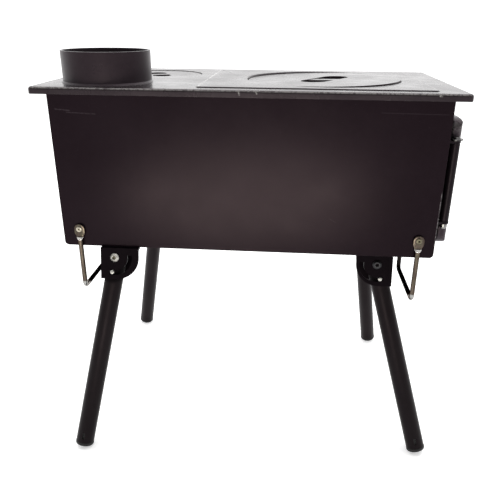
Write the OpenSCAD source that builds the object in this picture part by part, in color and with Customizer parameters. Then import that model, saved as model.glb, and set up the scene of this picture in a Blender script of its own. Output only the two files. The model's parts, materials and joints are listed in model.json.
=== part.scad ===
// Folding-leg wood stove for a tent.
// A sheet-steel firebox under a cast top with a lift-out hotplate, two lids and a flue collar.
// X runs along the stove, door end at +X. Y runs across it. Z is up, the feet stand on Z = 0.

/* [Top plate] */
// Length of the top plate
top_l = 460; // [420:1:520]
// Depth of the top plate from front to back
top_d = 248; // [240:1:280]
// Thickness of the top plate
top_t = 7.5; // [7.5:0.1:9]
// Height of the top surface above the ground
top_z = 442; // [430:1:480]
// Length of the lift-out hotplate panel
panel_l = 252; // [240:1:256]
// Depth of the lift-out hotplate panel
panel_d = 209; // [200:1:212]
// Height of the hotplate panel's top above the frame around it
panel_up = 1; // [0.8:0.1:1.2]
// Radius of the large cooking lid
lid_r = 90.8; // [80:0.1:94]
// Radius of the small lid beside the flue
lid2_r = 54; // [45:0.5:55]

/* [Flue collar] */
// Outer radius of the flue collar
collar_r = 49.25; // [45:0.05:51]
// Height of the flue collar above the top plate
collar_h = 34; // [20:1:60]
// Wall thickness of the flue collar
collar_t = 2.75; // [2:0.05:4]

/* [Firebox] */
// Length of the firebox
box_l = 432.6; // [420:0.1:436]
// Depth of the firebox
box_d = 217; // [210:1:220]
// Height of the firebox walls
box_h = 177; // [170:0.5:190]
// Thickness of the sheet steel
sheet = 2; // [1.5:0.1:2.5]

/* [Door] */
// Width of the door
door_w = 164; // [150:1:168]
// Height of the door
door_h = 148.5; // [140:0.5:148.5]
// Thickness of the door
door_t = 12.5; // [10:0.5:14]
// Distance of the air disc's centre from the middle of the door
vent_y = 8; // [0:1:12]

/* [Legs] */
// Outer radius of the leg tubes
tube_r = 11.1; // [9:0.1:11.1]
// Wall thickness of the leg tubes
tube_t = 1.5; // [1:0.1:2]
// Outward splay along the stove of the legs in degrees: front left, front right, rear left, rear right
splay = [10.9, 15.4, 10.8, 8.7]; // [8:0.1:16]
// Outward tilt across the stove of the left and right leg brackets in degrees
tilt = [13.2, 12.8]; // [8:0.1:14]
// Half distance between the two left leg pivots
half_l = 103.3; // [103:0.1:104]
// Half distance between the two right leg pivots
half_r = 81; // [80:0.1:81.2]

/* [Wire hooks] */
// Radius of the hook wire
wire_r = 2.7; // [2:0.1:2.8]
// Drop of the hook below its rivet
hook_drop = 74; // [60:1:75]
// Length of the hook's lower bar
hook_w = 91; // [80:1:95]

/* [Hidden] */
$fn = 64;
e = 0.01;

// The origin is under the middle of the whole object, so everything moves left by half the latch's overhang
handle_x = 258.75;
xo = -(handle_x - top_l / 2) / 2;

under_z = top_z - top_t;          // underside of the top plate
bot_z = under_z - box_h;          // underside of the firebox
hl = box_l / 2;
hd = box_d / 2;

// places on the top plate
panel_c = [73, -1.5];
lid_c = [85, 0];
lid2_c = [-125, 39];
flue_c = [-161.5, -62];

// door end
frame_t = 5.7;
door_x = hl + frame_t + 1.5;      // back face of the door
door_f = door_x + door_t;         // front face of the door
door_z = top_z - 104.2;           // middle height of the door
hinge_x = 227.5;
hinge_y = -89.5;
lug_top = [387, 390];
lug_bot = [294, 297];
latch_y = 59;
grip_x = handle_x - 6.75;            // centre line of the handle's grip
vent_z = 305;

// legs: index 0 front left, 1 front right, 2 rear left, 3 rear right
function sx(i) = i % 2 == 0 ? -1 : 1;
function sy(i) = i < 2 ? -1 : 1;
function leg_x(i) = i % 2 == 0 ? 154.6 : 156.4;
function leg_y(i) = i % 2 == 0 ? half_l : half_r;
function drop(i) = i % 2 == 0 ? 14.1 : 20;
function psi(i) = tilt[i % 2];
cap_r = 11.3;
function lean(i) = cos(splay[i]) * cos(psi(i));
function leg_len(i) = (bot_z - drop(i) - cap_r * sqrt(1 - lean(i) * lean(i))) / lean(i);
gap = 0.4;                        // side clearance of a tube in its bracket
cheek = 2.2;
ci = tube_r + gap;                // inner face of a bracket cheek
co = ci + cheek;                  // outer face of a bracket cheek
btn_z = 18.2;                     // distance of the lock button from the pivot
btn_r = 2.5;
slot_r = 2.8;
cheek_r = 26;                     // radius of the outer cheek's rounded end
function cheek_c(i) = i % 2 == 0 ? -2.6 : 1.5;      // its centre, from the pivot
function cheek_o(i) = i % 2 == 0 ? 17 : 18.6;     // its straight outer edge

// hooks
function hook_x(i) = i % 2 == 0 ? 196 : 197.5;
hook_z = top_z - 163;
wire_y = hd + 3.2;                // centre line of the hook's front arm

steel_black = [0.16, 0.14, 0.15];
cast_black = [0.2, 0.19, 0.2];
tube_black = [0.15, 0.14, 0.15];
silver = [0.75, 0.74, 0.72];
dark_bolt = [0.12, 0.12, 0.13];
wire_grey = [0.5, 0.45, 0.4];

// ---- flat shapes ----
module rr(w, d, r) {
  square([w - 2 * r, d], center = true);
  square([w, d - 2 * r], center = true);
  for (x = [-1, 1]) for (y = [-1, 1]) translate([x * (w / 2 - r), y * (d / 2 - r)]) circle(r);
}
module stadium(l, w) {
  square([l - w, w], center = true);
  for (x = [-1, 1]) translate([x * (l - w) / 2, 0]) circle(w / 2);
}
// plate standing in a plane across X, its local x along Y and local y along Z
module plate_x(t) { rotate([90, 0, 90]) linear_extrude(t) children(); }
// plate standing in a plane across Y, its local x along X and local y along Z, growing towards +Y
module plate_y(t) { translate([0, t, 0]) rotate([90, 0, 0]) linear_extrude(t) children(); }
module hexp(af, h) { cylinder(r = af / 2 / cos(30), h = h, $fn = 6); }

// ---- top ----
module top_outline() { rr(top_l, top_d, 5); }
module lid_pocket(l, w, d, a, z) {
  // oval well with a bar across it, for the lid lifter
  translate([0, 0, z - d]) rotate([0, 0, a]) linear_extrude(d + 1) stadium(l, w);
}
module top_frame() {
  color(cast_black) difference() {
    translate([0, 0, under_z]) linear_extrude(top_t) top_outline();
    // seat of the hotplate panel
    translate([panel_c[0], panel_c[1], top_z - 5 + panel_up]) linear_extrude(6) rr(panel_l + 2, panel_d + 2, 3);
    translate([panel_c[0], panel_c[1], under_z - 1]) linear_extrude(top_t) rr(panel_l - 12, panel_d - 12, 4);
    // seat of the small lid
    translate([lid2_c[0], lid2_c[1], top_z - 4]) cylinder(r = lid2_r + 0.8, h = 5, $fn = 96);
    translate([lid2_c[0], lid2_c[1], under_z - 1]) cylinder(r = lid2_r - 6, h = top_t, $fn = 96);
    // flue hole
    translate([flue_c[0], flue_c[1], under_z - 1]) cylinder(r = collar_r - 2.25, h = top_t + 2, $fn = 96);
    // blind holes of the rim screws
    for (p = rim_points) translate([p[0], p[1], under_z - 1]) cylinder(r = 2.5, h = 6.5, $fn = 32);
  }
}
rim_points = [[-206, -99], [-66, -99], [206.5, -99], [-206, 99], [-66, 99], [206.5, 99]];
module flue_collar() {
  color(cast_black) translate([flue_c[0], flue_c[1], 0]) difference() {
    union() {
      translate([0, 0, top_z - e]) cylinder(r = collar_r, h = collar_h + e, $fn = 96);
      translate([0, 0, top_z]) cylinder(r1 = collar_r + 1.8, r2 = collar_r, h = 2, $fn = 96);
      translate([0, 0, under_z + 0.3]) cylinder(r = collar_r - 2.4, h = top_t + 0.7, $fn = 96);
    }
    translate([0, 0, under_z - 1]) cylinder(r = collar_r - 4.9, h = 15, $fn = 96);
    translate([0, 0, top_z + 1]) cylinder(r = collar_r - collar_t, h = collar_h, $fn = 96);
  }
}
module hotplate_panel() {
  color(cast_black) translate([0, 0, panel_up]) difference() {
    union() {
      translate([panel_c[0], panel_c[1], top_z - 5]) linear_extrude(5) rr(panel_l, panel_d, 3);
      translate([panel_c[0], panel_c[1], top_z - 8.2]) linear_extrude(4.2) rr(panel_l - 14, panel_d - 14, 4);
    }
    translate([lid_c[0], lid_c[1], top_z - 5.6]) cylinder(r = lid_r + 0.9, h = 7, $fn = 128);
    translate([lid_c[0], lid_c[1], top_z - 1.8]) cylinder(r1 = lid_r + 0.5, r2 = lid_r + 3.3, h = 2.8, $fn = 128);
    translate([lid_c[0], lid_c[1], top_z - 9]) cylinder(r = lid_r - 6, h = 9, $fn = 128);
  }
}
module cooking_lid() {
  // the lid lies a little askew in its seat, its left edge down on the ledge
  color(cast_black) translate([lid_c[0] + 0.4, lid_c[1], top_z + panel_up - 0.3]) rotate([-0.45, -1.05, 0]) {
    difference() {
      union() {
        translate([0, 0, -3.4]) cylinder(r = lid_r, h = 3.4, $fn = 128);
        translate([1.5, -2, -12.4]) rotate([0, 0, 60]) linear_extrude(10) stadium(92, 37);
      }
      translate([1.5, -2, 0]) lid_pocket(86, 31, 10.5, 60, 0);
    }
    translate([1.5, -2, -4.2]) intersection() {
      rotate([0, 0, 60]) linear_extrude(3.6) stadium(88, 33);
      rotate([0, 0, -8]) translate([-40, -7.75, -1]) cube([80, 15.5, 6]);
    }
  }
}
module small_lid() {
  color(cast_black) translate([lid2_c[0], lid2_c[1], 0]) {
    difference() {
      union() {
        translate([0, 0, top_z - 4]) cylinder(r = lid2_r, h = 3.4, $fn = 96);
        translate([0, 0, top_z - 11]) rotate([0, 0, 113]) linear_extrude(8) stadium(60, 28);
      }
      lid_pocket(54, 22, 8.5, 113, top_z - 0.6);
    }
    translate([0, 0, top_z - 4.1]) intersection() {
      rotate([0, 0, 113]) linear_extrude(3.5) stadium(56, 24);
      rotate([0, 0, 113]) translate([-6, -15, 0]) cube([12, 30, 4]);
    }
  }
}

// ---- firebox ----
module wall_outline(g) {
  // firebox outline in the X-Z plane, drawn in by g, with rounded lower corners
  r = 4.5 - g;
  translate([-hl + g, bot_z + 4.5]) square([box_l - 2 * g, box_h - 4.5]);
  translate([-hl + 4.5, bot_z + g]) square([box_l - 9, 6]);
  for (s = [-1, 1]) translate([s * (hl - 4.5), bot_z + 4.5]) circle(r, $fn = 48);
}
module casing_band() {
  color(steel_black) difference() {
    translate([0, -hd + sheet, 0]) plate_y(box_d - 2 * sheet) difference() {
      wall_outline(0);
      union() { wall_outline(sheet); translate([-hl + sheet, bot_z + 20]) square([box_l - 2 * sheet, box_h]); }
    }
    // door opening
    translate([hl - 10, 0, 340]) plate_x(20) rr(140, 120, 6);
    // holes of the bracket screws
    for (i = [0:3]) for (u = [12, -18]) translate([sx(i) * (leg_x(i) + u), base_y(i), bot_z - 1]) cylinder(r = 2.15, h = 5, $fn = 24);
  }
}
module side_panel(s) {
  color(steel_black) difference() {
    translate([0, s < 0 ? -hd : hd - sheet, 0]) plate_y(sheet) wall_outline(0);
    for (i = [0, 1]) translate([sx(i) * hook_x(i), s * hd, hook_z]) rotate([90, 0, 0]) cylinder(r = 2.1, h = 10, center = true, $fn = 32);
  }
}
module side_panel_front() { side_panel(-1); }
module side_panel_rear() { side_panel(1); }
module rim_angle(s) {
  y = hd - sheet;
  color(steel_black) difference() {
    union() {
      translate([-212, s < 0 ? -y : y - 15.5, under_z - 2.5]) cube([424, 15.5, 2.5]);
      translate([-212, s < 0 ? -y : y - 2, under_z - 18]) cube([424, 2, 18]);
    }
    for (p = rim_points) translate([p[0], p[1], under_z - 5]) cylinder(r = 2.75, h = 10, $fn = 32);
  }
}
module rim_angle_front() { rim_angle(-1); }
module rim_angle_rear() { rim_angle(1); }
module rim_screws() {
  color(dark_bolt) for (p = rim_points) translate([p[0], p[1], 0]) {
    translate([0, 0, under_z - 3]) cylinder(r = 2.45, h = 8, $fn = 32);
    translate([0, 0, under_z - 6]) hexp(8, 3.5);
  }
}
module fire_grate() {
  color(cast_black) difference() {
    translate([0, 0, bot_z + 28]) linear_extrude(6) rr(384, 188, 6);
    for (k = [-8:8]) for (s = [-1, 1]) translate([k * 21, s * 44, bot_z + 27]) linear_extrude(8) rotate(90) stadium(74, 10);
  }
}
module grate_rail(s) {
  y = hd - sheet;
  color(steel_black) {
    translate([-190, s < 0 ? -y : y - 18, bot_z + 26]) cube([380, 18, 2]);
    translate([-190, s < 0 ? -y : y - 2, bot_z + 14]) cube([380, 2, 13]);
  }
}
module grate_rail_front() { grate_rail(-1); }
module grate_rail_rear() { grate_rail(1); }
module flame_baffle() {
  // plate under the flue end that makes the smoke turn towards the door before it leaves
  y = hd - sheet;
  color(steel_black) {
    translate([-hl + sheet, -y, 392]) cube([150, 2 * y, 2.5]);
    for (s = [-1, 1]) translate([-hl + sheet, s < 0 ? -y : y - 2.5, 376]) cube([150, 2.5, 17]);
  }
}

// ---- door end ----
module lug(z) {
  translate([hinge_x, hinge_y, z[0]]) cylinder(r = 5.4, h = z[1] - z[0], $fn = 48);
  translate([hl, hinge_y - 5.4, z[0]]) cube([hinge_x - hl, 10.8, z[1] - z[0]]);
}
module door_frame() {
  color(steel_black) difference() {
    union() {
      translate([hl, 0, door_z]) plate_x(frame_t) rr(172, 149, 6);
      lug(lug_top);
      lug(lug_bot);
    }
    translate([hl - 1, 0, 340]) plate_x(frame_t + 2) rr(140, 120, 6);
    translate([hinge_x, hinge_y, 280]) cylinder(r = 2.55, h = 120, $fn = 48);
  }
}
module door_body() {
  // cushion-edged door: rounded in all three directions
  intersection() {
    translate([door_x, 0, door_z]) plate_x(door_t) rr(door_w, door_h, 15);
    // round in plan
    translate([0, 0, door_z - door_h / 2 - 1]) linear_extrude(door_h + 2) front_round(door_w);
    // round in side view
    translate([0, -door_w / 2 - 1, door_z]) plate_y(door_w + 2) front_round(door_h);
  }
}
module front_round(w) {
  r = 7;
  translate([door_x - 1, -w / 2]) square([door_t - r + 1, w]);
  translate([door_x, -w / 2 + r]) square([door_t, w - 2 * r]);
  for (s = [-1, 1]) translate([door_f - r, s * (w / 2 - r)]) circle(r, $fn = 48);
}
module door_panel() {
  color(steel_black) difference() {
    door_body();
    // hollow back
    translate([door_x - 1, 0, door_z]) plate_x(door_t - 2) rr(138, 120, 6);
    // latch shaft hole
    translate([door_x, latch_y, door_z]) rotate([0, 90, 0]) cylinder(r = 4.05, h = 30, center = true, $fn = 48);
    // air holes and rivet hole
    translate([door_x, vent_y, vent_z]) rotate([0, 90, 0]) {
      cylinder(r = 3.0, h = 30, center = true, $fn = 48);
      for (a = [0:90:270]) rotate([0, 0, a]) translate([16.5, 0, 0]) cylinder(r = 6.5, h = 30, center = true, $fn = 32);
    }
  }
}
module door_seal() {
  color([0.3, 0.3, 0.3]) translate([hl + frame_t + 0.1, 0, door_z]) plate_x(1.4) difference() {
    rr(157, 138, 8);
    rr(143, 124, 7);
  }
}
module hinge_barrel() {
  color(steel_black) difference() {
    union() {
      translate([hinge_x, hinge_y, lug_bot[1] + 0.6]) cylinder(r = 5, h = lug_top[0] - lug_bot[1] - 1.2, $fn = 48);
      for (z = [309, 355]) translate([hinge_x - 3, hinge_y, z]) cube([6, -door_w / 2 - hinge_y, 20]);
    }
    translate([hinge_x, hinge_y, 280]) cylinder(r = 2.55, h = 120, $fn = 48);
  }
}
module hinge_rod() {
  color(silver) translate([hinge_x, hinge_y, 0]) {
    translate([0, 0, lug_bot[0] - 4]) cylinder(r = 2.5, h = lug_top[1] - lug_bot[0] + 5, $fn = 48);
    translate([0, 0, lug_top[1]]) cylinder(r = 7.4, h = 1.6, $fn = 48);
    translate([0, 0, lug_top[1] + 1.6]) cylinder(r1 = 5.2, r2 = 3.4, h = 1.8, $fn = 48);
  }
}
module hinge_rod_nut() {
  color(silver) translate([hinge_x, hinge_y, lug_bot[0] - 6.2]) difference() {
    union() {
      translate([0, 0, 2.2]) cylinder(r = 4.4, h = 4, $fn = 48);
      cylinder(r1 = 2.6, r2 = 4.4, h = 2.2, $fn = 48);
    }
    translate([0, 0, 2.2]) cylinder(r = 2.55, h = 6, $fn = 48);
  }
}
module latch_place() { translate([0, latch_y, door_z]) children(); }
module latch_shaft() {
  color(silver) latch_place() rotate([0, 90, 0]) {
    translate([0, 0, 204]) cylinder(r = 4, h = door_f + 13.4 - 204, $fn = 48);
    translate([0, 0, 201.5]) cylinder(r = 6, h = 2.5, $fn = 48);
  }
}
module latch_lever() {
  color(steel_black) latch_place() difference() {
    union() {
      rotate([0, 90, 0]) translate([0, 0, door_f + 0.4]) cylinder(r = 8, h = 13, $fn = 48);
      translate([door_f + 13.4 - e, 0, 0]) rotate([0, 90, 0]) cylinder(r = 8, h = 9, $fn = 48);
      translate([grip_x, 0, -82]) cylinder(r = 3, h = 78, $fn = 32);
      translate([grip_x, 0, -84]) cylinder(r = 4.4, h = 2.5, $fn = 32);
    }
    rotate([0, 90, 0]) translate([0, 0, door_f - 1]) cylinder(r = 4, h = 14.4, $fn = 48);
  }
}
module latch_grip() {
  // close-wound wire handle, cold to the hand
  color(silver) latch_place() translate([grip_x, 0, -80]) rotate_extrude($fn = 40) {
    translate([3.05, 0]) square([1.6, 62]);
    for (k = [0:20]) translate([5.3, 1.55 + k * 2.95]) circle(1.45, $fn = 16);
  }
}
module latch_cam() {
  color(steel_black) latch_place() translate([207, 0, 0]) difference() {
    plate_x(4) union() { translate([-5, -4]) square([10, 26]); circle(6.5, $fn = 32); }
    rotate([0, 90, 0]) cylinder(r = 4, h = 20, center = true, $fn = 48);
  }
}
module latch_keeper() {
  color(steel_black) translate([hl - sheet - 2.9, 71, door_z - 15]) cube([2.9, 16, 30]);
}
module vent_disc() {
  color(steel_black) translate([door_f + 0.2, vent_y, vent_z]) rotate([0, 90, 0]) {
    difference() {
      cylinder(r = 26, h = 2.4, $fn = 64);
      translate([0, 0, -1]) cylinder(r = 3.05, h = 5, $fn = 48);
      for (a = [45:90:315]) rotate([0, 0, a]) translate([16.5, 0, -1]) cylinder(r = 6.5, h = 5, $fn = 32);
    }
    translate([-21, 0, 2]) cylinder(r = 2.6, h = 5.6, $fn = 32);
  }
}
module vent_rivet() {
  color(silver) translate([0, vent_y, vent_z]) rotate([0, 90, 0]) {
    translate([0, 0, door_f - 3.5]) cylinder(r = 3, h = 6.5, $fn = 48);
    translate([0, 0, door_f + 2.8]) cylinder(r1 = 5.5, r2 = 4, h = 1.8, $fn = 48);
    translate([0, 0, door_f - 4.6]) cylinder(r = 5, h = 1.6, $fn = 48);
  }
}

// ---- legs ----
function base_y(i) = sy(i) * (leg_y(i) - (drop(i) - 1) * tan(psi(i)));
// frame of a leg's bracket: origin at the pivot, Y along the pivot with the outside at -Y, +X outward
module at_pivot(i) {
  translate([sx(i) * leg_x(i), sy(i) * leg_y(i), bot_z - drop(i)])
    mirror([sx(i) < 0 ? 1 : 0, 0, 0]) mirror([0, sy(i) > 0 ? 1 : 0, 0]) rotate([-psi(i), 0, 0]) children();
}
module at_leg(i) { at_pivot(i) rotate([0, -splay[i], 0]) children(); }
module cheek_2d(i) {
  c = cheek_c(i);
  intersection() {
    union() {
      translate([c, 0]) circle(cheek_r, $fn = 96);
      translate([0, -cheek_r]) square([cheek_o(i), 60]);
      translate([c - cheek_r, 0]) square([cheek_r, 34]);
    }
    translate([c - cheek_r, -cheek_r]) square([cheek_o(i) - c + cheek_r, 60]);
  }
}
module inner_cheek_2d(i) {
  // the cheek on the inside is smaller
  intersection() {
    union() {
      circle(24, $fn = 96);
      translate([-18.5, 0]) square([34.5, 34]);
    }
    translate([-18.5, -24]) square([34.5, 58]);
  }
}
module slot_2d(i) {
  // curved slot in which the button runs from the working to the folded position
  a1 = -90 + splay[i] + 9;
  intersection() {
    difference() { circle(btn_z + slot_r, $fn = 96); circle(btn_z - slot_r, $fn = 96); }
    polygon([[0, 0], 40 * [cos(a1), sin(a1)], 60 * [cos(-130), sin(-130)], 40 * [cos(-189), sin(-189)]]);
  }
}
module below(z, h) { translate([-300, -300, z - h]) cube([600, 600, h]); }
module bracket(i) {
  color(steel_black) difference() {
    union() {
      intersection() {
        at_pivot(i) {
          translate([0, -co, 0]) plate_y(cheek) difference() { cheek_2d(i); slot_2d(i); }
          translate([0, ci, 0]) plate_y(cheek) inner_cheek_2d(i);
        }
        below(bot_z, 100);
      }
      intersection() {
        at_pivot(i) union() {
          translate([-23.5, -co, 0]) cube([23.5 + cheek_o(i), 2 * co, 45]);
          translate([cheek_c(i) - cheek_r, -co, 0]) cube([10, 8, 45]);
        }
        below(bot_z, 2.5);
      }
    }
    at_pivot(i) rotate([90, 0, 0]) cylinder(r = 3.05, h = 60, center = true, $fn = 48);
    for (u = [12, -18]) translate([sx(i) * (leg_x(i) + u), base_y(i), bot_z]) {
      translate([0, 0, -10]) cylinder(r = 2.15, h = 20, $fn = 24);
      translate([0, 0, -2.6]) cylinder(r1 = 4.1, r2 = 2.0, h = 2.1, $fn = 32);
    }
  }
}
module bracket_screws() {
  color(dark_bolt) for (i = [0:3]) for (u = [12, -18]) translate([sx(i) * (leg_x(i) + u), base_y(i), bot_z]) {
    translate([0, 0, -2.4]) cylinder(r1 = 3.9, r2 = 2.0, h = 1.9, $fn = 32);
    translate([0, 0, -1.5]) cylinder(r = 2, h = 9, $fn = 24);
  }
}
module bracket_nuts() {
  color(dark_bolt) for (i = [0:3]) for (u = [12, -18]) translate([sx(i) * (leg_x(i) + u), base_y(i), bot_z + sheet]) difference() {
    hexp(7, 3.2);
    translate([0, 0, -1]) cylinder(r = 2.05, h = 6, $fn = 24);
  }
}
module pivot_bolt(i) {
  at_pivot(i) rotate([90, 0, 0]) difference() {
    union() {
      translate([0, 0, -co - 5.5]) cylinder(r = 3, h = 2 * co + 6, $fn = 48);
      translate([0, 0, co]) cylinder(r = 5.3, h = 1.1, $fn = 48);
      translate([0, 0, co + 1.1]) cylinder(r1 = 5.3, r2 = 3.3, h = 2, $fn = 48);
    }
    translate([0, 0, co + 1.2]) hexp(4, 4);
  }
}
module pivot_bolts_left() { color(silver) for (i = [0, 2]) pivot_bolt(i); }
module pivot_bolts_right() { color(dark_bolt) for (i = [1, 3]) pivot_bolt(i); }
module pivot_nuts() {
  color(dark_bolt) for (i = [0:3]) at_pivot(i) rotate([90, 0, 0]) translate([0, 0, -co - 5]) difference() {
    hexp(10, 5);
    translate([0, 0, -1]) cylinder(r = 3.05, h = 8, $fn = 48);
  }
}
module leg_tube(i) {
  l = leg_len(i) - 4;
  color(tube_black) at_leg(i) difference() {
    union() {
      translate([0, 0, -l]) cylinder(r = tube_r, h = l, $fn = 64);
      intersection() {
        translate([0, 0, -e]) cylinder(r = tube_r, h = 12, $fn = 64);
        rotate([90, 0, 0]) cylinder(r = 8.8, h = 30, center = true, $fn = 64);
      }
    }
    translate([0, 0, -l - 1]) cylinder(r = tube_r - tube_t, h = l + 20, $fn = 64);
    rotate([90, 0, 0]) cylinder(r = 3.05, h = 60, center = true, $fn = 48);
    translate([0, 0, -btn_z]) rotate([90, 0, 0]) cylinder(r = btn_r + 0.05, h = 20, $fn = 48);
    // keyhole slot near the foot
    translate([0, -5, -l - 4 + 14]) plate_slot();
  }
}
module plate_slot() {
  rotate([90, 0, 0]) linear_extrude(10) rotate(90) stadium(9, 2.8);
}
module foot_cap(i) {
  l = leg_len(i);
  color([0.08, 0.08, 0.08]) at_leg(i) {
    translate([0, 0, -l]) cylinder(r = cap_r, h = 4, $fn = 64);
    translate([0, 0, -l + 4 - e]) cylinder(r = tube_r - tube_t - 0.05, h = 22, $fn = 64);
  }
}
module lock_button(i) {
  color(silver) at_leg(i) translate([0, 0, -btn_z]) rotate([90, 0, 0]) {
    translate([0, 0, 6.9]) cylinder(r = btn_r, h = co + 0.5 - 6.9, $fn = 48);
    translate([0, 0, co + 0.5]) cylinder(r1 = btn_r, r2 = 1.5, h = 0.9, $fn = 48);
    translate([0, 0, 6.9]) cylinder(r = 3.4, h = 1, $fn = 48);
  }
}
module button_spring(i) {
  // folded leaf spring behind the button
  color(silver) at_leg(i) translate([-2.5, 0, 0]) rotate([90, 0, 90]) linear_extrude(5)
    polygon([[-6.9, -14.5], [-6.9, -22], [-0.6, -52], [0.6, -52], [8.8, -22], [8.8, -16], [8, -16], [8, -22], [0, -50], [-6.2, -22], [-6.2, -14.5]]);
}
module bracket_fl() { bracket(0); }
module bracket_fr() { bracket(1); }
module bracket_rl() { bracket(2); }
module bracket_rr() { bracket(3); }
module leg_tube_fl() { leg_tube(0); }
module leg_tube_fr() { leg_tube(1); }
module leg_tube_rl() { leg_tube(2); }
module leg_tube_rr() { leg_tube(3); }
module foot_cap_fl() { foot_cap(0); }
module foot_cap_fr() { foot_cap(1); }
module foot_cap_rl() { foot_cap(2); }
module foot_cap_rr() { foot_cap(3); }
module lock_button_fl() { lock_button(0); }
module lock_button_fr() { lock_button(1); }
module lock_button_rl() { lock_button(2); }
module lock_button_rr() { lock_button(3); }
module button_spring_fl() { button_spring(0); }
module button_spring_fr() { button_spring(1); }
module button_spring_rl() { button_spring(2); }
module button_spring_rr() { button_spring(3); }

// ---- wire hooks ----
module at_hook(i) {
  translate([sx(i) * hook_x(i), sy(i) * hd, hook_z]) mirror([0, sy(i) > 0 ? 1 : 0, 0]) children();
}
module quarter(r, a) { rotate_extrude(angle = a, $fn = 32) translate([r, 0]) circle(wire_r, $fn = 24); }
module wire_hook(i) {
  // flattened eye on the wall, an arm down, a bar under the stove and a short upturned end
  w = -(wire_y - hd);           // y of the arm, from the wall's face
  br = 6;
  tip = 30;                     // height of the upturned end above the bar
  color(wire_grey) at_hook(i) {
    difference() {
      union() {
        translate([0, -3.2, 0]) plate_y(2.2) union() {
          circle(6, $fn = 48);
          translate([0, -5]) circle(6, $fn = 48);
          translate([-6, -5]) square([12, 5]);
        }
        translate([0, w, -15]) cylinder(r1 = wire_r, r2 = 3.4, h = 6, $fn = 24);
      }
      rotate([90, 0, 0]) cylinder(r = 2.05, h = 20, center = true, $fn = 48);
      translate([-10, -1, -30]) cube([20, 5, 40]);
    }
    translate([0, w, -hook_drop + br]) cylinder(r = wire_r, h = hook_drop - br - 14.5, $fn = 24);
    translate([0, w + br, -hook_drop + br]) rotate([0, 90, 0]) rotate([0, 0, -90]) quarter(br, 90);
    translate([0, w + br, -hook_drop]) rotate([-90, 0, 0]) cylinder(r = wire_r, h = hook_w - 2 * br, $fn = 24);
    translate([0, w + hook_w - br, -hook_drop + br]) rotate([0, 90, 0]) rotate([0, 0, 0]) quarter(br, 90);
    translate([0, w + hook_w, -hook_drop + br]) cylinder(r = wire_r, h = tip - br, $fn = 24);
  }
}
module wire_hook_fl() { wire_hook(0); }
module wire_hook_fr() { wire_hook(1); }
module wire_hook_rl() { wire_hook(2); }
module wire_hook_rr() { wire_hook(3); }
module hook_rivets() {
  color(silver) for (i = [0:3]) at_hook(i) rotate([90, 0, 0]) difference() {
    union() {
      translate([0, 0, -4.5]) cylinder(r = 2, h = 8.2, $fn = 48);
      cylinder(r = 3.9, h = 0.85, $fn = 48);
      translate([0, 0, -5.5]) cylinder(r = 3, h = 3.4, $fn = 48);
      translate([0, 0, 3.35]) cylinder(r = 3.5, h = 0.7, $fn = 48);
      translate([0, 0, 4.05]) cylinder(r1 = 3.5, r2 = 2.4, h = 0.6, $fn = 48);
    }
    translate([0, 0, 2]) cylinder(r = 1.1, h = 5, $fn = 24);
  }
}

module put() { translate([xo, 0, 0]) children(); }

put() top_frame();
put() flue_collar();
put() hotplate_panel();
put() cooking_lid();
put() small_lid();
put() casing_band();
put() side_panel_front();
put() side_panel_rear();
put() rim_angle_front();
put() rim_angle_rear();
put() rim_screws();
put() fire_grate();
put() grate_rail_front();
put() grate_rail_rear();
put() flame_baffle();
put() door_frame();
put() door_panel();
put() door_seal();
put() hinge_barrel();
put() hinge_rod();
put() hinge_rod_nut();
put() latch_shaft();
put() latch_lever();
put() latch_grip();
put() latch_cam();
put() latch_keeper();
put() vent_disc();
put() vent_rivet();
put() bracket_fl();
put() bracket_fr();
put() bracket_rl();
put() bracket_rr();
put() bracket_screws();
put() bracket_nuts();
put() pivot_bolts_left();
put() pivot_bolts_right();
put() pivot_nuts();
put() leg_tube_fl();
put() leg_tube_fr();
put() leg_tube_rl();
put() leg_tube_rr();
put() foot_cap_fl();
put() foot_cap_fr();
put() foot_cap_rl();
put() foot_cap_rr();
put() lock_button_fl();
put() lock_button_fr();
put() lock_button_rl();
put() lock_button_rr();
put() button_spring_fl();
put() button_spring_fr();
put() button_spring_rl();
put() button_spring_rr();
put() wire_hook_fl();
put() wire_hook_fr();
put() wire_hook_rl();
put() wire_hook_rr();
put() hook_rivets();
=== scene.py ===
import json
import math
import random

import bmesh
import bpy
from mathutils import Matrix, Vector


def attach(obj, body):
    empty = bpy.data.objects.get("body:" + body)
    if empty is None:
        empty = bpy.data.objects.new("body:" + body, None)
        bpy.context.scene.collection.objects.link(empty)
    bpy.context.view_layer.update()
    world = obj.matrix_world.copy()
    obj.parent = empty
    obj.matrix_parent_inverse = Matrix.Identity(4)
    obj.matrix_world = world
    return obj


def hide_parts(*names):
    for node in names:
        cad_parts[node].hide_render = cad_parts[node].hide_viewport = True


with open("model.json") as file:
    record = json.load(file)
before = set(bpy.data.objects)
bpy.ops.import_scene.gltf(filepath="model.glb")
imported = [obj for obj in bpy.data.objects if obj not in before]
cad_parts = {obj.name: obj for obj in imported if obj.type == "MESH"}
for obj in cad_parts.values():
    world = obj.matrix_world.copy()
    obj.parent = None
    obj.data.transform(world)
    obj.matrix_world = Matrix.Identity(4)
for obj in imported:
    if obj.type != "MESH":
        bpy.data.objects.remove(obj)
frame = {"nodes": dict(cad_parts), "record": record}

NODES = frame["nodes"]
scene = bpy.context.scene
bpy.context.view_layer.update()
random.seed(11)

XO = -0.014375          # the CAD's shift along X
MM = 0.001


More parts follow.
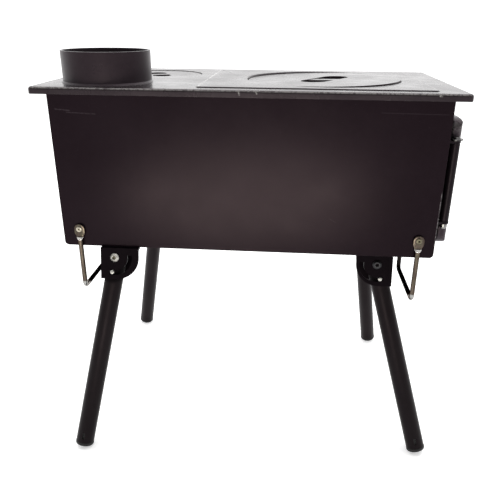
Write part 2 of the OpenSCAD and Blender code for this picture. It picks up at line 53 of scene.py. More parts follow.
# ------------------------------------------------------------------ camera
cam_data = bpy.data.cameras.new("photo_camera")
cam = bpy.data.objects.new("photo_camera", cam_data)
scene.collection.objects.link(cam)
cam_data.sensor_width = 36.0
cam_data.lens = 39.7277
cam_data.clip_start = 0.01
right = Vector((0.99695362, 0.07756285, 0.00821505))
up = Vector((-0.03759677, 0.38560736, 0.92189666))
back = Vector((0.06833715, -0.91939707, 0.38734876))
m = Matrix.Identity(4)
for i in range(3):
    m[i][0], m[i][1], m[i][2] = right[i], up[i], back[i]
m[0][3], m[1][3], m[2][3] = 0.035628, -0.703146, 0.509827
cam.matrix_world = m
scene.camera = cam


# ------------------------------------------------------------------ node helpers
def new_material(name):
    mat = bpy.data.materials.new(name)
    mat.use_nodes = True
    nt = mat.node_tree
    nt.nodes.clear()
    out = nt.nodes.new("ShaderNodeOutputMaterial")
    bsdf = nt.nodes.new("ShaderNodeBsdfPrincipled")
    nt.links.new(bsdf.outputs[0], out.inputs[0])
    coord = nt.nodes.new("ShaderNodeTexCoord")
    return mat, nt, bsdf, coord.outputs["Object"]


def noise(nt, vec, scale, detail=3.0, rough=0.5, distortion=0.0):
    n = nt.nodes.new("ShaderNodeTexNoise")
    n.inputs["Scale"].default_value = scale
    n.inputs["Detail"].default_value = detail
    n.inputs["Roughness"].default_value = rough
    n.inputs["Distortion"].default_value = distortion
    nt.links.new(vec, n.inputs["Vector"])
    return n.outputs["Fac"]


def stretched(nt, vec, s):
    n = nt.nodes.new("ShaderNodeMapping")
    n.inputs["Scale"].default_value = s
    nt.links.new(vec, n.inputs["Vector"])
    return n.outputs[0]


def remap(nt, val, a, b, c=0.0, d=1.0, smooth=False):
    n = nt.nodes.new("ShaderNodeMapRange")
    if smooth:
        n.interpolation_type = "SMOOTHSTEP"
    n.inputs["From Min"].default_value = a
    n.inputs["From Max"].default_value = b
    n.inputs["To Min"].default_value = c
    n.inputs["To Max"].default_value = d
    nt.links.new(val, n.inputs["Value"])
    return n.outputs[0]


def math_node(nt, op, a, b=None):
    n = nt.nodes.new("ShaderNodeMath")
    n.operation = op
    for k, v in ((0, a), (1, b)):
        if v is None:
            continue
        if isinstance(v, (int, float)):
            n.inputs[k].default_value = v
        else:
            nt.links.new(v, n.inputs[k])
    return n.outputs[0]


def mix(nt, fac, a, b):
    n = nt.nodes.new("ShaderNodeMix")
    n.data_type = "RGBA"
    for key, v in (("Factor", fac), ("A", a), ("B", b)):
        sock = [s for s in n.inputs if s.name == key and (s.type == "RGBA" if key != "Factor" else s.type == "VALUE")][0]
        if isinstance(v, (int, float)):
            sock.default_value = v
        elif isinstance(v, tuple):
            sock.default_value = (*v, 1.0)
        else:
            nt.links.new(v, sock)
    return [s for s in n.outputs if s.type == "RGBA"][0]


def bump(nt, bsdf, height, dist, strength=1.0, chain=None):
    n = nt.nodes.new("ShaderNodeBump")
    n.inputs["Strength"].default_value = strength
    n.inputs["Distance"].default_value = dist
    nt.links.new(height, n.inputs["Height"])
    if chain is not None:
        nt.links.new(chain, n.inputs["Normal"])
    nt.links.new(n.outputs[0], bsdf.inputs["Normal"])
    return n.outputs[0]


def edge_mask(nt, radius, lo=0.985, hi=0.86):
    """1 on sharp outside edges, where paint wears thin."""
    bev = nt.nodes.new("ShaderNodeBevel")
    bev.samples = 4
    bev.inputs["Radius"].default_value = radius
    geo = nt.nodes.new("ShaderNodeNewGeometry")
    dot = nt.nodes.new("ShaderNodeVectorMath")
    dot.operation = "DOT_PRODUCT"
    nt.links.new(bev.outputs[0], dot.inputs[0])
    nt.links.new(geo.outputs["True Normal"], dot.inputs[1])
    return remap(nt, dot.outputs["Value"], lo, hi, 0.0, 1.0, True)


def stroke(nt, vec, p, q, width):
    """1 along the line from p to q in the row frame (metres), 0 further off than width."""
    p, q = Vector(p), Vector(q)
    d = q - p
    sub = nt.nodes.new("ShaderNodeVectorMath"); sub.operation = "SUBTRACT"
    nt.links.new(vec, sub.inputs[0]); sub.inputs[1].default_value = p
    dot = nt.nodes.new("ShaderNodeVectorMath"); dot.operation = "DOT_PRODUCT"
    nt.links.new(sub.outputs[0], dot.inputs[0]); dot.inputs[1].default_value = d / max(d.length_squared, 1e-12)
    t = remap(nt, dot.outputs["Value"], 0, 1, 0, 1)
    sc = nt.nodes.new("ShaderNodeVectorMath"); sc.operation = "SCALE"
    sc.inputs[0].default_value = d
    nt.links.new(t, sc.inputs["Scale"])
    off = nt.nodes.new("ShaderNodeVectorMath"); off.operation = "DISTANCE"
    nt.links.new(sub.outputs[0], off.inputs[0]); nt.links.new(sc.outputs[0], off.inputs[1])
    return remap(nt, off.outputs["Value"], width, width * 0.35, 0.0, 1.0, True)


def paint(name, dark, light, rough=(0.36, 0.5), spec=0.4, grain=900.0, grain_h=0.00003, coarse_h=0.0, wear=0.0,
          wear_col=(0.09, 0.085, 0.08), wear_r=0.0008, strokes=(), stroke_col=(0.16, 0.15, 0.15), blotch=9.0, tint=(1.0, 0.8, 0.9),
          painted_shade_above=None):
    """Heat-proof stove paint: two close shades in soft clouds, fine orange peel, thin worn edges, a few marks."""
    mat, nt, bsdf, co = new_material(name)
    clouds = noise(nt, co, blotch, 4.0, 0.55)
    fine = noise(nt, co, 160.0, 3.0, 0.6)
    fac = math_node(nt, "ADD", math_node(nt, "MULTIPLY", clouds, 0.75), math_node(nt, "MULTIPLY", fine, 0.25))
    col = mix(nt, remap(nt, fac, 0.36, 0.64, 0, 1, True), dark, light)
    # settled dust in tiny specks
    specks = remap(nt, noise(nt, co, 620.0, 1.0, 0.4), 0.74, 0.8, 0.0, 0.35, True)
    col = mix(nt, specks, col, tuple(min(1.0, c * 2.6 + 0.01) for c in light))
    if wear > 0:
        worn = math_node(nt, "MULTIPLY", edge_mask(nt, wear_r), remap(nt, noise(nt, co, 70.0, 4.0, 0.65), 0.42, 0.66, 0.0, wear, True))
        col = mix(nt, worn, col, wear_col)
    for s in strokes:
        p, q, w, amount = s[:4]
        broken = remap(nt, noise(nt, co, 420.0, 2.0, 0.6), 0.38, 0.56, 0.15, amount, True)
        col = mix(nt, math_node(nt, "MULTIPLY", stroke(nt, co, p, q, w), broken), col, s[4] if len(s) > 4 else stroke_col)
    rn = noise(nt, co, 26.0, 5.0, 0.6)
    r = remap(nt, rn, 0.3, 0.7, rough[0], rough[1])
    if painted_shade_above:
        # painted shade: blacker above a height, and matt there too, on the end that sits in shade between the bracket's
        # cheeks
        sep = nt.nodes.new("ShaderNodeSeparateXYZ")
        nt.links.new(co, sep.inputs[0])
        painted_shade_mask = remap(nt, sep.outputs["Z"], painted_shade_above[0], painted_shade_above[1], 0.0, 1.0, True)
        col = mix(nt, painted_shade_mask, col, (0.0012, 0.0009, 0.0011))
        r = math_node(nt, "ADD", r, math_node(nt, "MULTIPLY", painted_shade_mask, 0.4))
    nt.links.new(col, bsdf.inputs["Base Color"])
    nt.links.new(r, bsdf.inputs["Roughness"])
    bsdf.inputs["Specular IOR Level"].default_value = spec
    bsdf.inputs["Specular Tint"].default_value = (*tint, 1.0)
    peel = noise(nt, co, grain, 2.0, 0.5)
    chain = bump(nt, bsdf, peel, grain_h)
    if coarse_h > 0:
        bump(nt, bsdf, noise(nt, co, 210.0, 4.0, 0.62), coarse_h, 1.0, chain)
    return mat


def metal(name, dark, light, rough=(0.22, 0.4), along=(1, 1, 1), scale=240.0, h=0.00001, grime=0.3, grime_col=(0.05, 0.04, 0.03)):
    """Plated or bare steel: drawn grain, thin tarnish and a little grime."""
    mat, nt, bsdf, co = new_material(name)
    grain = noise(nt, stretched(nt, co, along), scale, 4.0, 0.6)
    col = mix(nt, remap(nt, grain, 0.3, 0.7), dark, light)
    dirt = remap(nt, noise(nt, co, 95.0, 5.0, 0.65), 0.5, 0.72, 0.0, grime, True)
    col = mix(nt, dirt, col, grime_col)
    nt.links.new(col, bsdf.inputs["Base Color"])
    bsdf.inputs["Metallic"].default_value = 1.0
    r = math_node(nt, "ADD", remap(nt, grain, 0.3, 0.7, rough[0], rough[1]), math_node(nt, "MULTIPLY", dirt, 0.3))
    nt.links.new(r, bsdf.inputs["Roughness"])
    bump(nt, bsdf, grain, h)
    return mat


# ------------------------------------------------------------------ materials
def wx(x):
    return x * MM + XO


WALL_Y = -0.1085
wall_strokes = [
    ((wx(-208.3), WALL_Y, 0.4170), (wx(-192.8), WALL_Y, 0.4157), 0.0009, 0.55),
    ((wx(-196.4), WALL_Y, 0.4138), (wx(-164.3), WALL_Y, 0.4125), 0.0008, 0.5),
    ((wx(142.5), WALL_Y, 0.4198), (wx(211.0), WALL_Y, 0.4192), 0.0008, 0.2),
    ((wx(96.0), WALL_Y, 0.3010), (wx(103.0), WALL_Y, 0.2968), 0.0006, 0.35),
    # painted highlight: a light line down the casing's right edge, where its rounded bend catches the light
    ((wx(216.0), WALL_Y, 0.3350), (wx(216.0), WALL_Y, 0.2720), 0.0010, 0.9, (0.13, 0.12, 0.125)),
]
top_strokes = [
    ((wx(196.0), -0.1240, 0.4398), (wx(197.6), -0.1240, 0.4396), 0.0013, 1.0),
    ((wx(-6.4), -0.1240, 0.4400), (wx(-5.6), -0.1240, 0.4372), 0.0010, 0.6),
    ((wx(11.3), -0.1240, 0.4404), (wx(12.4), -0.1240, 0.4386), 0.0009, 0.6),
    # painted highlight: a light line along the whole front top edge, where its rounding catches the light
    ((wx(-226.0), -0.1231, 0.4412), (wx(226.0), -0.1231, 0.4412), 0.0015, 0.8, (0.17, 0.165, 0.16)),
    ((wx(-98.0), -0.0700, 0.4420), (wx(-70.0), -0.0610, 0.4420), 0.0006, 0.3),
    ((wx(-82.0), -0.0300, 0.4420), (wx(-60.0), 0.0450, 0.4420), 0.0006, 0.25),
    ((wx(-215.0), 0.0700, 0.4420), (wx(-190.0), 0.0920, 0.4420), 0.0006, 0.25),
]


def lid_z(x, y):
    return (442.7 + (x - 85.4) * math.tan(math.radians(1.05)) - y * math.tan(math.radians(0.45))) * MM


def lid_stroke(x0, y0, x1, y1, width, amount):
    return ((wx(x0), y0 * MM, lid_z(x0, y0)), (wx(x1), y1 * MM, lid_z(x1, y1)), width, amount)


panel_strokes = [
    ((wx(-20.0), -0.0900, 0.4430), (wx(15.0), -0.0700, 0.4430), 0.0006, 0.3),
    ((wx(175.0), 0.0400, 0.4430), (wx(190.0), 0.0850, 0.4430), 0.0006, 0.3),
    # painted highlights: light lines along the panel's two rounded ends, where their edges catch the light
    ((wx(-52.4), -0.1030, 0.4430), (wx(-52.4), 0.1030, 0.4430), 0.0014, 1.0, (0.62, 0.61, 0.59)),
    ((wx(198.4), -0.1030, 0.4430), (wx(198.4), 0.1030, 0.4430), 0.0010, 0.7, (0.50, 0.49, 0.48)),
    lid_stroke(60, -30, 110, -52, 0.0006, 0.3),
    lid_stroke(40, 48, 120, 56, 0.0006, 0.25),
]
M = {}
M["sheet_black"] = paint("sheet_black", (0.0054, 0.0026, 0.0042), (0.0076, 0.0042, 0.0062), rough=(0.20, 0.26), spec=0.085, tint=(1.0, 0.76, 0.86),
                         wear=0.35, wear_col=(0.10, 0.095, 0.10), wear_r=0.0006, strokes=wall_strokes, stroke_col=(0.045, 0.036, 0.042))
M["cast_iron_black"] = paint("cast_iron_black", (0.010, 0.0072, 0.0085), (0.018, 0.0140, 0.0155), rough=(0.22, 0.31), spec=0.27, grain=700.0,
                             grain_h=0.00005, coarse_h=0.00004, wear=0.5, wear_col=(0.11, 0.105, 0.10), strokes=top_strokes + panel_strokes,
                             stroke_col=(0.30, 0.29, 0.28), blotch=14.0)
M["collar_black"] = paint("collar_black", (0.0095, 0.0058, 0.0078), (0.0145, 0.0100, 0.0125), rough=(0.27, 0.35), spec=0.20, grain=800.0,
                          grain_h=0.00004, coarse_h=0.00002, wear=0.35, wear_col=(0.12, 0.115, 0.12))
M["tube_black"] = paint("tube_black", (0.0050, 0.0036, 0.0038), (0.0080, 0.0064, 0.0066), rough=(0.30, 0.38), spec=0.075, grain=1200.0, grain_h=0.00002, wear=0.3,
                        painted_shade_above=(0.2125, 0.2180))
# painted light: a lighter copy of the tube paint for the rear legs, for the light they catch
M["tube_rear_painted_lighter"] = paint("tube_rear_painted_lighter", (0.0064, 0.0050, 0.0050), (0.0100, 0.0084, 0.0084), rough=(0.30, 0.38), spec=0.11, grain=1200.0, grain_h=0.00002, wear=0.3,
                       painted_shade_above=(0.2125, 0.2180))
M["bracket_black"] = paint("bracket_black", (0.0020, 0.0010, 0.0018), (0.0038, 0.0025, 0.0036), rough=(0.34, 0.44), spec=0.045, grain=1100.0,
                           grain_h=0.00002, wear=0.3, wear_col=(0.06, 0.055, 0.055))
M["door_black"] = paint("door_black", (0.0092, 0.0060, 0.0085), (0.0140, 0.0100, 0.0130), rough=(0.27, 0.35), spec=0.32, grain=900.0,
                        grain_h=0.00003, wear=0.35, wear_col=(0.10, 0.095, 0.10), wear_r=0.0006,
                        # painted highlight: the door's rounded top corner made lighter, as light falls on it
                        strokes=[((wx(224.0), -0.0790, 0.4085), (wx(236.0), -0.0790, 0.4085), 0.0190, 1.0, (0.070, 0.064, 0.066))])
M["hinge_black"] = paint("hinge_black", (0.0050, 0.0034, 0.0046), (0.0080, 0.0060, 0.0076), rough=(0.30, 0.38), spec=0.10, grain=900.0,
                         grain_h=0.00003, wear=0.35, wear_col=(0.10, 0.095, 0.10), wear_r=0.0006)
M["bright_steel"] = metal("bright_steel", (0.40, 0.39, 0.36), (0.66, 0.64, 0.60), rough=(0.22, 0.36), grime=0.35)
M["dark_steel"] = metal("dark_steel", (0.035, 0.035, 0.038), (0.075, 0.074, 0.078), rough=(0.34, 0.5), grime=0.3)
M["rivet_steel"] = metal("rivet_steel", (0.30, 0.27, 0.21), (0.52, 0.48, 0.40), rough=(0.24, 0.4), grime=0.5)
M["spring_steel"] = metal("spring_steel", (0.35, 0.35, 0.36), (0.5, 0.5, 0.5), rough=(0.25, 0.4))
M["bolt_steel"] = metal("bolt_steel", (0.30, 0.29, 0.26), (0.52, 0.50, 0.46), rough=(0.20, 0.34), grime=0.4)
M["hinge_steel"] = metal("hinge_steel", (0.045, 0.044, 0.045), (0.13, 0.125, 0.125), rough=(0.16, 0.28), grime=0.5, grime_col=(0.012, 0.011, 0.011))
M["nut_steel"] = metal("nut_steel", (0.10, 0.097, 0.095), (0.24, 0.235, 0.23), rough=(0.16, 0.28), grime=0.5, grime_col=(0.015, 0.014, 0.013))
# the bolt sockets' recess, painted dark as shade
M["socket_painted_shade"] = metal("socket_painted_shade", (0.07, 0.06, 0.045), (0.20, 0.18, 0.13), rough=(0.35, 0.5), grime=0.6)
M["rivet_dull"] = metal("rivet_dull", (0.10, 0.09, 0.06), (0.19, 0.17, 0.12), rough=(0.28, 0.42), grime=0.5)


def wire_material():
    """Tarnished plated wire: brown-grey, streaked along its length, with a painted highlight on the eye's neck."""
    mat, nt, bsdf, co = new_material("wire_steel")
    grain = noise(nt, stretched(nt, co, (1, 0.3, 0.10)), 520.0, 4.0, 0.6)
    col = mix(nt, remap(nt, grain, 0.3, 0.7), (0.044, 0.032, 0.025), (0.118, 0.093, 0.076))
    tint = remap(nt, noise(nt, co, 210.0, 4.0, 0.65), 0.48, 0.66, 0.0, 0.75, True)
    col = mix(nt, tint, col, (0.095, 0.089, 0.062))
    sep = nt.nodes.new("ShaderNodeSeparateXYZ")
    nt.links.new(co, sep.inputs[0])
    wob = math_node(nt, "MULTIPLY", noise(nt, co, 300.0, 2.0, 0.5), 0.0006)
    z = math_node(nt, "ADD", sep.outputs["Z"], wob)
    # painted highlight: a near-white band on the eye's neck
    neck = math_node(nt, "MULTIPLY", remap(nt, z, 0.2661, 0.2667, 0, 1, True), remap(nt, z, 0.2697, 0.2690, 0, 1, True))
    # lighter only at the outer bend
    low = math_node(nt, "MULTIPLY", remap(nt, sep.outputs["Z"], 0.2132, 0.2112, 0, 1.0, True), remap(nt, grain, 0.35, 0.6, 0.75, 1.0))
    low = math_node(nt, "MULTIPLY", low, remap(nt, math_node(nt, "ABSOLUTE", sep.outputs["Y"]), 0.1000, 0.1045, 0, 1, True))
    # painted shade: darkened where the wire runs under the stove and turns up again
    under = remap(nt, math_node(nt, "ABSOLUTE", sep.outputs["Y"]), 0.1040, 0.0985, 0, 0.96, True)
    col = mix(nt, under, col, (0.0105, 0.0090, 0.0085))
    col = mix(nt, low, col, (0.36, 0.36, 0.35))
    col = mix(nt, neck, col, (0.86, 0.83, 0.79))
    nt.links.new(col, bsdf.inputs["Base Color"])
    bsdf.inputs["Metallic"].default_value = 1.0
    bsdf.inputs["Specular Tint"].default_value = (0.24, 0.19, 0.16, 1.0)
    nt.links.new(remap(nt, grain, 0.3, 0.7, 0.14, 0.30), bsdf.inputs["Roughness"])
    bump(nt, bsdf, grain, 0.00001)
    return mat


def rope_material():
    mat, nt, bsdf, co = new_material("seal_rope")
    n = noise(nt, co, 900.0, 3.0, 0.6)
    b = noise(nt, co, 60.0, 4.0, 0.6)
    col = mix(nt, remap(nt, n, 0.35, 0.65), (0.10, 0.097, 0.09), (0.26, 0.25, 0.235))
    col = mix(nt, remap(nt, b, 0.5, 0.72, 0, 0.6, True), col, (0.03, 0.027, 0.025))
    nt.links.new(col, bsdf.inputs["Base Color"])
    bsdf.inputs["Roughness"].default_value = 0.95
    bsdf.inputs["Specular IOR Level"].default_value = 0.15
    bump(nt, bsdf, n, 0.0001)
    return mat


def rubber_material():
    mat, nt, bsdf, co = new_material("cap_rubber")
    n = noise(nt, co, 1500.0, 2.0, 0.5)
    b = noise(nt, co, 45.0, 5.0, 0.6)
    col = mix(nt, remap(nt, b, 0.4, 0.66, 0, 1, True), (0.006, 0.006, 0.0062), (0.012, 0.0115, 0.011))
    dust = remap(nt, noise(nt, co, 260.0, 4.0, 0.6), 0.55, 0.75, 0.0, 0.25, True)
    col = mix(nt, dust, col, (0.07, 0.065, 0.06))
    nt.links.new(col, bsdf.inputs["Base Color"])
    nt.links.new(remap(nt, b, 0.3, 0.7, 0.55, 0.7), bsdf.inputs["Roughness"])
    bsdf.inputs["Specular IOR Level"].default_value = 0.35
    bump(nt, bsdf, n, 0.00002)
    return mat


M["wire_steel"] = wire_material()
M["seal_rope"] = rope_material()
M["cap_rubber"] = rubber_material()

SLOT = {row["node"]: row["material_slot"] for row in frame["record"]["subparts"]}


# ------------------------------------------------------------------ CAD nodes: materials and rounded edges
def polish(name, width, segments=2, angle=35.0):
    o = NODES[name]
    for poly in o.data.polygons:
        poly.use_smooth = True
    w = o.modifiers.new("weld", "WELD")
    w.merge_threshold = 2e-6
    d = o.modifiers.new("flats", "DECIMATE")
    d.decimate_type = "DISSOLVE"
    d.angle_limit = math.radians(0.6)
    if width > 0:
        b = o.modifiers.new("edges", "BEVEL")
        b.width = width
        b.segments = segments
        b.limit_method = "ANGLE"
        b.angle_limit = math.radians(angle)
        b.use_clamp_overlap = True
        b.harden_normals = False
        b.miter_outer = "MITER_ARC"
    n = o.modifiers.new("shading", "WEIGHTED_NORMAL")
    n.keep_sharp = False
    n.weight = 100
    n.mode = "FACE_AREA"


def round_rim(name, inside, width, segments):
    """Rounds the edges between the vertices that inside() picks, before the small bevel."""
    o = NODES[name]
    g = o.vertex_groups.new(name="rim")
    for v in o.data.vertices:
        if inside(v.co):
            g.add([v.index], 1.0, "REPLACE")
    b = o.modifiers.new("rim", "BEVEL")
    b.limit_method = "VGROUP"
    b.vertex_group = "rim"
    b.width = width
    b.segments = segments
    b.use_clamp_overlap = True
    i = o.modifiers.find("rim")
    o.modifiers.move(i, 2)


EDGE = {"top_frame": 0.9, "hotplate_panel": 0.9, "cooking_lid": 0.8, "small_lid": 0.8, "flue_collar": 0.7, "casing_band": 0.5,
        "side_panel_front": 0.6, "side_panel_rear": 0.6, "rim_angle_front": 0.4, "rim_angle_rear": 0.4, "fire_grate": 0.8,
        "grate_rail_front": 0.4, "grate_rail_rear": 0.4, "flame_baffle": 0.4, "door_frame": 0.6, "door_panel": 0.5, "hinge_barrel": 0.5,
        "hinge_rod": 0.3, "hinge_rod_nut": 0.25, "latch_shaft": 0.3, "latch_lever": 0.5, "latch_cam": 0.5, "latch_keeper": 0.3,
        "vent_disc": 0.5, "vent_rivet": 0.2, "pivot_bolts_left": 0.25, "pivot_bolts_right": 0.25, "pivot_nuts": 0.3, "rim_screws": 0.3,
        "bracket_screws": 0.1, "bracket_nuts": 0.2, "hook_rivets": 0.2}
for node_name, obj in NODES.items():
    slot_name = SLOT[node_name]
    obj.data.materials.clear()
    obj.data.materials.append(M["door_black" if node_name == "door_panel" else "hinge_black" if node_name in ("hinge_barrel", "door_frame") else slot_name])
    if node_name in ("hinge_rod", "hinge_rod_nut"):
        obj.data.materials[0] = M["hinge_steel" if node_name == "hinge_rod" else "nut_steel"]
    width = EDGE.get(node_name)
    if width is None:
        if node_name.startswith("bracket_"):
            width = 0.55
        elif node_name.startswith("leg_tube"):
            width = 0.35
        elif node_name.startswith("foot_cap"):
            width = 1.2
        elif node_name.startswith("lock_button"):
            width = 0.3
        else:
            width = 0.1
    polish(node_name, width * MM)


def on_rim(c):
    qx, qy = abs(c.x - XO) - (0.230 - 0.005), abs(c.y) - (0.124 - 0.005)
    d = math.hypot(max(qx, 0), max(qy, 0)) + min(max(qx, qy), 0) - 0.005
    return d > -0.00008 and c.z > 0.4419


round_rim("top_frame", on_rim, 0.0032, 6)


def on_door_back(c):
    return abs(c.x - XO - 0.2235) < 0.0001 and (abs(c.y) > 0.0725 or abs(c.z - 0.3378) > 0.0625)


round_rim("door_panel", on_door_back, 0.0030, 5)

# pivot bolts: bright heads with the socket recess painted dark as shade; the rear legs' tube paint is painted lighter,
# for the light they catch
for side in (-1, 1):
    bolts = NODES["pivot_bolts_left" if side < 0 else "pivot_bolts_right"]
    if side < 0:
        bolts.data.materials.clear()
        bolts.data.materials.append(M["bolt_steel"])
    bolts.data.materials.append(M["socket_painted_shade"] if side < 0 else M["bracket_black"])
    px, half, sink, tip_over = ((-154.6, 103.3, 14.1, 13.2) if side < 0 else (156.4, 81.0, 20.0, 12.8))
    for fb in (-1, 1):
        at = Vector((px * MM + XO, fb * half * MM, (257.5 - sink) * MM))
        out = Vector((0, fb * math.cos(math.radians(tip_over)), math.sin(math.radians(tip_over)) * 1.0))
        for poly in bolts.data.polygons:
            v = poly.center - at
            along = v.dot(out)
            if 0.0145 < along < 0.0167 and (v - out * along).length < 0.00236:
                poly.material_index = 1
# the rear legs take the tube paint painted lighter
for tag in ("rl", "rr"):
    NODES["leg_tube_" + tag].data.materials.clear()
    NODES["leg_tube_" + tag].data.materials.append(M["tube_rear_painted_lighter"])

# the right front rivet is as dull as its hook
rivets = NODES["hook_rivets"]
rivets.data.materials.append(M["rivet_dull"])
for poly in rivets.data.polygons:
    if poly.center.x > 0:
        poly.material_index = 1


# ------------------------------------------------------------------ new pieces
def add_mesh(name, verts, faces, material, smooth=True):
    me = bpy.data.meshes.new(name)
    me.from_pydata(verts, [], faces)
    me.update()
    bm = bmesh.new()
    bm.from_mesh(me)
    bmesh.ops.recalc_face_normals(bm, faces=bm.faces)
    bm.to_mesh(me)
    bm.free()
    for p in me.polygons:
        p.use_smooth = smooth
    o = bpy.data.objects.new(name, me)
    scene.collection.objects.link(o)
    me.materials.append(material)
    return o


def loft(name, rings, material, caps=True, closed=False):
    """rings: lists of equally many points. Joined ring to ring."""
    n = len(rings[0])
    verts = [p for ring in rings for p in ring]
    faces = []
    count = len(rings)
    for i in range(count if closed else count - 1):
        a, b = i * n, ((i + 1) % count) * n
        for k in range(n):
            faces.append((a + k, a + (k + 1) % n, b + (k + 1) % n, b + k))
    if caps and not closed:
        for base, flip in ((0, True), ((count - 1) * n, False)):
            ring = rings[0] if base == 0 else rings[-1]
            c = sum((Vector(p) for p in ring), Vector()) / n
            verts.append(tuple(c))
            ci = len(verts) - 1
            for k in range(n):
                f = (base + k, base + (k + 1) % n, ci)
                faces.append(f[::-1] if flip else f)
    return add_mesh(name, verts, faces, material)


def oval(a, b, n, power):
    pts = []
    for k in range(n):
        t = 2 * math.pi * k / n
        c, s = math.cos(t), math.sin(t)
        pts.append((a * math.copysign(abs(c) ** (2 / power), c), b * math.copysign(abs(s) ** (2 / power), s)))
    return pts


# wire hooks: one length of wire, flattened to an eye at the rivet
def lerp_table(table, x):
    for (x0, y0), (x1, y1) in zip(table, table[1:]):
        if x0 <= x <= x1:
            t = (x - x0) / (x1 - x0)
            t = t * t * (3 - 2 * t)
            return y0 + (y1 - y0) * t
    return table[0][1] if x < table[0][0] else table[-1][1]


def wire_hook(name, node, body, sx, sy):
    n = 28
    hx = -196.0 if sx < 0 else 197.5
    rings = []
    # the flat eye and its neck, seen from the top down; s is the distance below the eye's top
    steps = [0.0, 0.12, 0.4, 0.9, 1.6, 2.5, 3.6, 5, 6.5, 8, 9.5, 11, 12.2, 13.4, 14.5, 15.4, 16.0, 16.3, 16.6, 17.2, 17.8, 18.3, 18.8, 19.3, 20.0, 21.5]
    wide = [(0, 0), (6.2, 6.2), (10.6, 6.2), (15.8, 4.1), (16.3, 4.0), (18.6, 2.95), (19.3, 2.85), (30, 2.8)]
    thick = [(0, 0.75), (1.2, 1.08), (14.0, 1.1), (15.9, 1.35), (18.6, 2.8), (19.3, 2.78), (30, 2.75)]
    depth = [(0, -2.15), (14.5, -2.15), (18.6, -3.2), (30, -3.2)]
    for s in steps:
        if s < 6.2:
            half = 6.2 * math.sqrt(max(0.0, 1 - ((6.2 - s) / 6.2) ** 2))
            half = max(half, 0.25)
        else:
            half = lerp_table(wide, s)
        th = lerp_table(thick, s)
        cy = lerp_table(depth, s)
        power = 2.0 + 2.2 * max(0.0, min(1.0, (18.6 - s) / 3.0))
        z = 6.0 - s
        rings.append([(x, cy + y, z) for x, y in oval(half, th, n, power)])
    # the round wire: down, round the bend, along under the stove, up again
    w, drop, br, tip, run = -3.2, 74.0, 6.0, 30.0, 91.0
    path = [(0, w, z) for z in (-20, -32, -44, -56, -68)]
    tang = [(0, 0, -1)] * len(path)
    for k in range(1, 9):
        a = math.radians(90 * k / 8)
        path.append((0, w + br - br * math.cos(a), -drop + br - br * math.sin(a)))
        tang.append((0, math.sin(a), -math.cos(a)))
    for y in (15, 30, 45, 60, 75, run - br):
        path.append((0, w + y, -drop))
        tang.append((0, 1, 0))
    for k in range(1, 9):
        a = math.radians(90 * k / 8)
        path.append((0, w + run - br + br * math.sin(a), -drop + br - br * math.cos(a)))
        tang.append((0, math.cos(a), math.sin(a)))
    for z in (-drop + 14, -drop + 22, -drop + tip - 0.6):
        path.append((0, w + run, z))
        tang.append((0, 0, 1))
    r = 2.75
    for i, (p, t) in enumerate(zip(path, tang)):
        p, t = Vector(p), Vector(t)
        side = Vector((1, 0, 0))
        upv = side.cross(t)
        # at the arm, side x t points along +Y or -Y; keep the ring's start the same way round as the eye's
        if i < 5:
            upv = Vector((0, 1, 0))
        else:
            upv = Vector((0, -t.z, t.y))
        rings.append([tuple(p + side * x + upv * y) for x, y in oval(r, r, n, 2)])
    end = Vector((0, w + run, -drop + tip))
    for rr, dz in ((2.2, 0.0),):
        upv = Vector((0, -1, 0))
        rings.append([tuple(end + Vector((0, 0, dz)) + Vector((1, 0, 0)) * x + upv * y) for x, y in oval(rr, rr, n, 2)])
    moved = []
    for ring in rings:
        moved.append([((hx + x) * MM + XO, sy * (108.5 - y) * MM if sy > 0 else (-108.5 + y) * MM, (279.0 + z) * MM) for x, y, z in ring])
    o = loft(name, moved, M["wire_steel"])
    # the rivet hole
    c = loft(name + "_hole", [[((hx + 2.06 * math.cos(a)) * MM + XO, y * MM, (279.0 + 2.06 * math.sin(a)) * MM)
                               for a in [2 * math.pi * k / 32 for k in range(32)]] for y in (sy * 107.0, sy * 113.0)], M["wire_steel"])
    b = o.modifiers.new("hole", "BOOLEAN")
    b.operation = "DIFFERENCE"
    b.solver = "EXACT"
    b.object = c
    bpy.context.view_layer.update()
    dg = bpy.context.evaluated_depsgraph_get()
    me = bpy.data.meshes.new_from_object(o.evaluated_get(dg))
    o.modifiers.clear()
    o.data = me
    for p in me.polygons:
        p.use_smooth = True
    bpy.data.objects.remove(c)
    me.materials.clear()
    me.materials.append(M["wire_steel"])
    wn = o.modifiers.new("shading", "WEIGHTED_NORMAL")
    wn.weight = 60
    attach(o, body)
    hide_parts(node)
    return o


for tag, sx, sy in (("fl", -1, -1), ("fr", 1, -1), ("rl", -1, 1), ("rr", 1, 1)):
    wire_hook("hook_wire_" + tag, "wire_hook_" + tag, "hook_" + tag, sx, sy)

# coiled wire handle
LX, LY, LZ = 252.0, 59.0, 337.8


def coil():
    turns, pitch, rc, rw, sides, per = 20.5, 2.95, 5.3, 1.43, 10, 28
    rings = []
    total = int(turns * per)
    for i in range(total + 1):
        a = 2 * math.pi * i / per
        # the wire is drawn a little thinner over the first and last three steps
        z = -80 + 1.5 + pitch * i / per
        c = Vector((math.cos(a), math.sin(a), 0))
        t = Vector((-math.sin(a) * rc, math.cos(a) * rc, pitch / (2 * math.pi))).normalized()
        b = c.cross(t).normalized()
        p = Vector((LX, LY, LZ + z)) + c * rc
        k = 1.0 if 3 < i < total - 3 else 0.82
        rings.append([tuple((p + c * (rw * k * math.cos(q)) + b * (rw * k * math.sin(q))) * MM + Vector((XO, 0, 0)))
                      for q in [2 * math.pi * j / sides for j in range(sides)]])
    return loft("handle_coil", rings, M["bright_steel"])


grip = coil()
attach(grip, "latch")
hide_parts("latch_grip")


